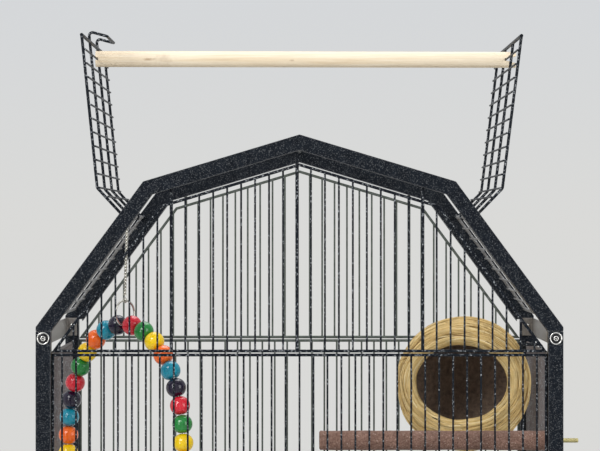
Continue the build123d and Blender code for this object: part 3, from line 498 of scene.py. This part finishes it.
# lighter and darker tone of each paint
BEADS = {
    "red": ((0.66, 0.018, 0.036), (0.52, 0.010, 0.022)),
    "green": ((0.016, 0.235, 0.045), (0.008, 0.155, 0.028)),
    "yellow": ((0.90, 0.62, 0.004), (0.78, 0.50, 0.002)),
    "orange": ((0.88, 0.145, 0.010), (0.76, 0.10, 0.006)),
    "teal": ((0.008, 0.275, 0.385), (0.005, 0.190, 0.280)),
    "purple": ((0.010, 0.006, 0.026), (0.006, 0.003, 0.013)),
}


def bead_profile():
    """Squat ball with a rounded mouth round the bore, from the lower bore edge outwards."""
    outer = []
    steps = 14
    start = math.asin(MOUTH_R / BEAD_R)
    for i in range(steps + 1):
        angle = -math.pi / 2 + start + (math.pi - 2 * start) * i / steps
        outer.append((BEAD_R * math.cos(angle) ** BEAD_FULLNESS, BEAD_HALF * math.sin(angle)))
    lip = BEAD_HALF * 0.955
    sunk = lip - 0.4 * MM
    return [(BORE_R, -sunk), (BORE_R + BORE_LIP, -lip)] + outer + [(BORE_R + BORE_LIP, lip), (BORE_R, sunk)]


def make_beads():
    profile = bead_profile()
    for colour, (paint, shade) in BEADS.items():
        node = "swing_beads_" + colour
        mesh = bmesh.new()
        for points in loose_parts(node):
            centre, axis = turned_axis(points, RIM_REACH)
            lathe(mesh, profile, centre, frame_along(axis))
        new_piece("beads_" + colour, mesh, lacquer("lacquer_" + colour, paint, shade), "bead_swing",
                  [node])


HANGER_WIRE_R = 0.85 * MM
TOP_EYE_R, LOW_EYE_R = 3.4 * MM, 2.4 * MM
EYE_MARGIN = 1.0 * MM        # from the eye's middle line to the end of the CAD hanger
SHANK_GAP = 2.0 * MM         # from the eye to the twisted part
TWIST_TURNS, TWIST_STEPS = 11, 200
EYE_STEPS = 24


def make_hanger(steel):
    """Two wires twisted together, ending in an eye over the hinge rod and an eye round the ring."""
    low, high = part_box("swing_hanger")
    ring_low, ring_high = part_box("swing_ring")
    ring = (ring_low + ring_high) / 2
    ring_across = Vector((ring_high.x - ring_low.x, -(ring_high.y - ring_low.y), 0)).normalized()
    hinge = next(j for j in frame["joints"] if j["name"] == "swing_sway")["pos_m"]
    top_eye = Vector((hinge[0], ring.y, high.z - EYE_MARGIN - TOP_EYE_R))
    low_eye = Vector((ring.x, ring.y, low.z + EYE_MARGIN + LOW_EYE_R))
    shank_top = top_eye - Vector((0, 0, TOP_EYE_R + SHANK_GAP))
    shank_low = low_eye + Vector((0, 0, LOW_EYE_R + SHANK_GAP))
    span = shank_low - shank_top
    turn = frame_along(span.normalized())
    mesh = bmesh.new()
    for phase in (0, math.pi):
        twist = []
        for i in range(TWIST_STEPS + 1):
            angle = phase + math.tau * TWIST_TURNS * i / TWIST_STEPS
            offset = turn @ Vector((math.cos(angle), math.sin(angle), 0)) * HANGER_WIRE_R
            twist.append(shank_top + span * (i / TWIST_STEPS) + offset)
        tube(mesh, twist, HANGER_WIRE_R)
    for eye, radius, across, foot in ((top_eye, TOP_EYE_R, Vector((1, 0, 0)), -1),
                                      (low_eye, LOW_EYE_R, ring_across, 1)):
        loop = []
        for i in range(EYE_STEPS + 1):
            angle = math.radians(-20 + 400 * i / EYE_STEPS) - foot * math.pi / 2
            spiral = Vector((0, 0.5 * MM * (2 * i / EYE_STEPS - 1), 0))
            rise = Vector((0, 0, radius * math.sin(angle)))
            loop.append(eye + across * radius * math.cos(angle) + rise + spiral)
        tube(mesh, loop, HANGER_WIRE_R)
    new_piece("twisted_hanger", mesh, steel, "bead_swing", ["swing_hanger"])


# Nest -------------------------------------------------------------------------
NEST_COILS = 9
NEST_WALL = 10.0 * MM
STRAND_ROOM = 0.8 * MM       # kept free under the CAD nest's outline
COIL_DEPTH = 2.6 * MM
LUMPS = 1.2 * MM
LINING_DEPTH = 1.6 * MM
WOUND, ROLLED, CROSSED = 1500, 420, 150      # strands round the ball, round the rim and across the coils
MOUTH_HALF = (60.5 * MM, 49.5 * MM)          # half width and half height
MOUTH_AT = (-9.5 * MM, 6.0 * MM)             # from the nest's middle, across and up


class NestShape:
    """Ball whose coils run round an oval mouth in front; t is 0 at the mouth's rim and 1 at the back."""

    def __init__(self):
        low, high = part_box("nest")
        self.centre = (low + high) / 2
        self.radius = (high.x - low.x) / 2 - STRAND_ROOM
        sideways = Matrix.Rotation(math.asin(MOUTH_AT[0] / self.radius), 3, "Z")
        upwards = Matrix.Rotation(-math.asin(MOUTH_AT[1] / self.radius), 3, "X")
        self.turn = sideways @ upwards

    def rim_angle(self, around):
        half_x, half_z = MOUTH_HALF
        reach = 1 / math.hypot(math.cos(around) / half_x, math.sin(around) / half_z)
        return math.asin(min(reach / self.radius, 0.95))

    def point(self, t, around, depth=0.0):
        """Point by share t from rim to back and angle round the mouth, sunk by depth."""
        rim = self.rim_angle(around)
        polar = rim + t * (math.pi - rim)
        ridge = abs(math.sin(math.pi * NEST_COILS * t)) ** 0.6
        lump = noise.noise(Vector((math.cos(around) * 2.2, math.sin(around) * 2.2, t * 5))) * LUMPS
        reach = self.radius - COIL_DEPTH * (1 - ridge) - depth + lump - 1.0 * MM
        reach = min(reach, self.radius)
        flat = reach * math.sin(polar)
        straight = Vector((flat * math.cos(around), -reach * math.cos(polar), flat * math.sin(around)))
        return self.centre + self.turn @ straight


def make_nest_lining(shape):
    """Shell under the strands: outside, a rounded rim and the dark hollow, as one closed surface."""
    mesh = bmesh.new()
    layer = mesh.verts.layers.float.new("strand")
    around_steps, across = 72, 30
    rings = []
    for i in range(across + 1):
        rings.append([(1 - i / across, LINING_DEPTH, 1.0)] * around_steps)
    for i in range(1, across + 1):
        rings.append([(i / across, NEST_WALL, 0.0)] * around_steps)
    made = []
    for ring in rings:
        row = []
        for k, (t, depth, tone) in enumerate(ring):
            around = math.tau * k / around_steps
            vert = mesh.verts.new(shape.point(t * 0.995, around, depth))
            vert[layer] = tone
            row.append(vert)
        made.append(row)
    for here, after in zip(made, made[1:]):
        for k in range(around_steps):
            j = (k + 1) % around_steps
            mesh.faces.new((here[k], after[k], after[j], here[j]))
    mesh.faces.new(made[0])
    mesh.faces.new(tuple(reversed(made[-1])))
    bmesh.ops.recalc_face_normals(mesh, faces=mesh.faces)
    return new_piece("nest_lining", mesh, nest_shell(), "cage")


def make_nest_strands(shape, grass):
    """Hundreds of grass strands wound round the ball, a rolled rim, and short cross wraps."""
    draw = random.Random(7)
    mesh = bmesh.new()
    layer = mesh.verts.layers.float.new("strand")
    for _ in range(WOUND):
        t = draw.random() ** 1.15 * 0.97
        start = draw.uniform(0, math.tau)
        length = draw.uniform(0.35, 1.7)
        slope = draw.gauss(0, 0.018)
        lift = draw.uniform(-0.2, 1.6) * MM
        wave = draw.uniform(0, math.tau)
        steps = max(6, int(length * 9))
        path = []
        for i in range(steps + 1):
            share = i / steps
            here = t + slope * (share - 0.5) * length + 0.006 * math.sin(wave + share * 5)
            here = min(max(here, 0.0), 0.985)
            path.append(shape.point(here, start + length * share, lift))
        tone = min(max(draw.gauss(0.56, 0.21), 0.0), 1.0)
        tube(mesh, path, draw.uniform(0.5, 1.25) * MM, 5, layer, tone, taper=True)
    for _ in range(ROLLED):
        roll = draw.uniform(-0.2, math.pi + 0.2)
        start = draw.uniform(0, math.tau)
        length = draw.uniform(0.3, 1.3)
        drift = draw.gauss(0, 0.35)
        steps = max(6, int(length * 11))
        path = []
        for i in range(steps + 1):
            share = i / steps
            around = start + length * share
            turn = roll + drift * (share - 0.5)
            outer = shape.point(0.0, around, -1.0 * MM)
            inner = shape.point(0.0, around, NEST_WALL)
            middle = (outer + inner) / 2
            half = (outer - inner) / 2
            forward = shape.turn @ Vector((0, -half.length * 0.85, 0))
            path.append(middle + half * math.cos(turn) + forward * math.sin(turn))
        tone = min(max(draw.gauss(0.60, 0.2), 0.0), 1.0)
        tube(mesh, path, draw.uniform(0.5, 1.0) * MM, 5, layer, tone, taper=True)
    for _ in range(CROSSED):
        t = draw.uniform(0.02, 0.8)
        start = draw.uniform(0, math.tau)
        path = [shape.point(min(t + 0.022 * i, 0.98), start + 0.035 * i, -0.5 * MM) for i in range(6)]
        tube(mesh, path, draw.uniform(0.35, 0.6) * MM, 4, layer, draw.uniform(0.05, 0.4), taper=True)
    return new_piece("nest_strands", mesh, grass, "cage", ["nest"])


# Sand perch and its stud --------------------------------------------------------
SAND_LUMP = 0.35 * MM
SAND_ROUGH = 0.30 * MM
THREAD_DEPTH, THREAD_PITCH = 0.42 * MM, 0.8 * MM


def on_circle(x, centre, reach, angle):
    return x, centre.y + reach * math.cos(angle), centre.z + reach * math.sin(angle)


def make_sand_perch():
    """Round perch with a rough, lumpy coat of sand."""
    low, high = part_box("sand_perch")
    centre = (low + high) / 2
    radius = (high.z - low.z) / 2 - SAND_LUMP
    mesh = bmesh.new()
    rows, sides, corner = 210, 60, 1.6 * MM
    rings = []
    for i in range(rows + 1):
        x = low.x + (high.x - low.x) * i / rows
        edge = min(x - low.x, high.x - x)
        shrink = corner - math.sqrt(max(corner ** 2 - (corner - min(edge, corner)) ** 2, 0.0))
        ring = []
        for k in range(sides):
            angle = math.tau * k / sides
            seed = Vector((x * 900, math.cos(angle) * 9, math.sin(angle) * 9))
            rough = noise.noise(seed) * SAND_ROUGH
            lump = noise.noise(Vector((x * 60, math.cos(angle) * 1.5, math.sin(angle) * 1.5))) * SAND_LUMP
            reach = min(radius - shrink + rough + lump, radius + SAND_LUMP)
            ring.append(mesh.verts.new(on_circle(x, centre, reach, angle)))
        rings.append(ring)
    skin(mesh, rings)
    new_piece("gritty_perch", mesh, grit(), "cage", ["sand_perch"])


def make_stud(plate):
    """M5 stud: a single-start thread of 0.8 mm pitch."""
    low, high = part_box("sand_perch_stud")
    centre = (low + high) / 2
    radius = (high.z - low.z) / 2
    sides, rows_per_turn = 20, 4
    rows = int((high.x - low.x) / THREAD_PITCH * rows_per_turn)
    mesh = bmesh.new()
    rings = []
    for i in range(rows + 1):
        x = low.x + (high.x - low.x) * i / rows
        tip = min(1.0, (high.x - x) / THREAD_PITCH)
        ring = []
        for k in range(sides):
            angle = math.tau * k / sides
            phase = (x / THREAD_PITCH + k / sides) % 1.0
            cut = THREAD_DEPTH * abs(2 * phase - 1)
            reach = (radius - cut) * (0.8 + 0.2 * tip)
            ring.append(mesh.verts.new(on_circle(x, centre, reach, angle)))
        rings.append(ring)
    skin(mesh, rings)
    new_piece("threaded_stud", mesh, plate, "cage", ["sand_perch_stud"])


# Eave screws --------------------------------------------------------------------
# Profiles in millimetres: radius, and height from the washer's foot outwards.
CUP_RING = [(2.6, 0.0), (6.4, 0.0), (6.4, 0.9), (6.05, 1.45), (5.45, 1.5), (5.0, 1.0), (4.7, 0.45),
            (2.6, 0.4)]
# painted shade: a thin dark disc laid in the washer's hollow
CUP_DISH = [(2.45, 0.42), (4.80, 0.50), (4.80, 0.60), (2.45, 0.55)]
PAN_HEAD = [(0.01, -19.0), (2.2, -19.0), (2.5, -18.5), (2.5, 0.3), (2.75, 0.3), (2.75, 1.6), (2.6, 2.2),
            (2.2, 2.6), (1.65, 2.75), (1.5, 2.6), (1.45, 1.5), (0.01, 1.5)]
# painted shade: a thin dark disc on the socket's floor
SOCKET = [(0.01, 1.52), (1.42, 1.52), (1.42, 1.62), (0.01, 1.62)]
SOCKET_PIN = [(0.01, 1.5), (0.6, 1.5), (0.6, 2.35), (0.4, 2.6), (0.01, 2.65)]
CUP_FOOT = 0.6 * MM          # from the CAD washer's middle inwards


def make_screws(bright, dark):
    """Bright cup washers with a dark dish of painted shade in their hollow, and pan-head screws with a pinned
    socket whose floor is a dark disc of painted shade.
    """
    head = bmesh.new()
    cup = bmesh.new()
    for points in loose_parts("eave_washers"):
        centre = Vector((points.min(0) + points.max(0)) / 2)
        outward = Vector((0, -1 if centre.y < 0 else 1, 0))
        turn = frame_along(outward)
        face = centre - outward * CUP_FOOT
        for mesh, profile, steps, material in ((cup, CUP_RING, 48, 0), (cup, CUP_DISH, 48, 1),
                                               (head, PAN_HEAD, 36, 0), (head, SOCKET, 24, 1),
                                               (head, SOCKET_PIN, 24, 0)):
            lathe(mesh, [(r * MM, h * MM) for r, h in profile], face, turn, steps, material)
    for mesh in (head, cup):
        bmesh.ops.recalc_face_normals(mesh, faces=mesh.faces)
    new_piece("cup_washers", cup, [bright, dark], "cage", ["eave_washers"])
    new_piece("screw_heads", head, [bright, dark], "cage", ["eave_screws"])


# Finishes of the CAD parts --------------------------------------------------------
SHARP_ANGLE = math.radians(30.0)
WELD_DISTANCE = 0.002 * MM
# rounded edge in millimetres, by a word in the node's name
ROUNDED = {"front_roof_arch": 1.1, "back_roof_arch": 1.1, "base_frame": 0.4, "lower_shelf": 0.4,
           "seed_tray": 0.4, "caster_fork": 0.3, "_post": 1.1, "stand_legs": 1.1, "eave_rail": 0.4}
# marks on the play perch: across, depth and height from its front middle line, then length, width, strength
PERCH_MARKS = [((-0.195, 0, 0), 0.110, 0.0300, 0.11), ((-0.151, 0, 0.0003), 0.017, 0.0090, 0.20),
               ((-0.167, 0, -0.0002), 0.012, 0.0030, 0.50), ((-0.015, 0, -0.0015), 0.005, 0.0020, 0.38),
               ((0.220, 0, -0.0005), 0.004, 0.0024, 0.30)]


def dress(name, material, bevel):
    """Give a CAD node its finish, smooth shading over its curved faces, and rounded edges if wanted."""
    obj = nodes[name]
    obj.data.materials.clear()
    obj.data.materials.append(material)
    for polygon in obj.data.polygons:
        polygon.use_smooth = True
    weld = obj.modifiers.new("weld", "WELD")
    weld.merge_threshold = WELD_DISTANCE
    if bevel:
        rounding = obj.modifiers.new("rounding", "BEVEL")
        rounding.width = bevel
        rounding.segments = 3
        rounding.limit_method = "ANGLE"
        rounding.angle_limit = SHARP_ANGLE
        rounding.use_clamp_overlap = True
        rounding.harden_normals = True
        obj.modifiers.new("even_faces", "WEIGHTED_NORMAL").keep_sharp = True
    else:
        split = obj.modifiers.new("split", "EDGE_SPLIT")
        split.split_angle = SHARP_ANGLE


def dress_all():
    """Finish every CAD node by its slot or its own name; gives back the metals that pieces need too."""
    # the frame coat keeps the painted edge highlight; the wire coats are made without it
    coat = hammered_black("hammered_black")
    wire = hammered_black("coated_wire", fleck=0.29, fleck_scale=600.0, highlight_grey=0)
    # Painted light: the side, back and roof grilles have the same black coat as the front wires. Here they get
    # lighter copies with brighter flecks, and a greenish one at the back, standing for the light they catch and
    # the highlights on the roof rungs.
    side_wire = hammered_black("side_wire", fleck=0.26, fleck_scale=800.0, highlight_grey=0,
                               ground=((0.098, 0.086, 0.084), (0.190, 0.167, 0.162)))
    back_wire = hammered_black("back_wire", fleck=0.16, fleck_scale=640.0, highlight_grey=0,
                               ground=((0.060, 0.072, 0.062), (0.125, 0.142, 0.124)))
    roof_wire = hammered_black("roof_wire", fleck=0.40, fleck_scale=700.0, highlight_grey=0,
                               ground=((0.110, 0.106, 0.102), (0.240, 0.233, 0.227)))
    # painted reflection: the eave rails get a lighter grey metal than the frame coat, standing for the light they
    # reflect
    strip = metal("rail_painted_reflection", (0.30, 0.28, 0.26), 0.42)
    bright = metal("bright_nickel", (0.80, 0.79, 0.76), 0.16)
    steel = metal("spring_steel", (0.68, 0.66, 0.60), 0.24)
    # painted shade for the hollows of the eave washers and the screw sockets
    dark = metal("hollow_painted_shade", (0.045, 0.045, 0.048), 0.35)
    zinc = metal("zinc_plate", (0.62, 0.63, 0.65), 0.32, scale=60.0)
    yellow = metal("yellow_zinc", (0.60, 0.53, 0.26), 0.38)
    cup = metal("satin_steel", (0.66, 0.66, 0.66), 0.30, brushed=(40, 40, 900))
    tread = rubber()
    low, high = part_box("play_perch")
    front = Vector(((low.x + high.x) / 2, low.y, (low.z + high.z) / 2))
    marks = [(tuple(front + Vector(place)), length, width, depth)
             for place, length, width, depth in PERCH_MARKS]
    dowel = pine("pine_dowel", 0, marks)
    by_slot = {
        "black_frame": coat, "black_wire": wire, "pine": pine("pine"), "bright_steel": steel,
        "zinc_steel": zinc, "yellow_zinc": yellow, "stainless": cup, "caster_rubber": tread,
    }
    # the wire and eave rail finishes here carry painted light
    own = {"play_perch": dowel, "back_gable_grille": back_wire, "back_grille": back_wire,
           "left_eave_rail": strip, "right_eave_rail": strip,
           "left_side_grille": side_wire, "right_side_grille": side_wire,
           "left_roof_grille": roof_wire, "right_roof_grille": roof_wire}
    for part in frame["record"]["subparts"]:
        name, slot = part["node"], part["material_slot"]
        if slot in by_slot:
            bevel = next((size * MM for key, size in ROUNDED.items() if key in name), 0.0)
            dress(name, own.get(name, by_slot[slot]), bevel)
    return bright, steel, dark, yellow


# Everything in order --------------------------------------------------------------
scene.view_settings.view_transform = "Standard"
make_camera()
make_world()
make_floor()
for light in LIGHTS:
    soft_light(*light)

bright, steel, dark, yellow = dress_all()
make_beads()
make_hanger(steel)
nest_shape = NestShape()
make_nest_lining(nest_shape)
make_nest_strands(nest_shape, straw())
make_sand_perch()
make_stud(yellow)
make_screws(bright, dark)
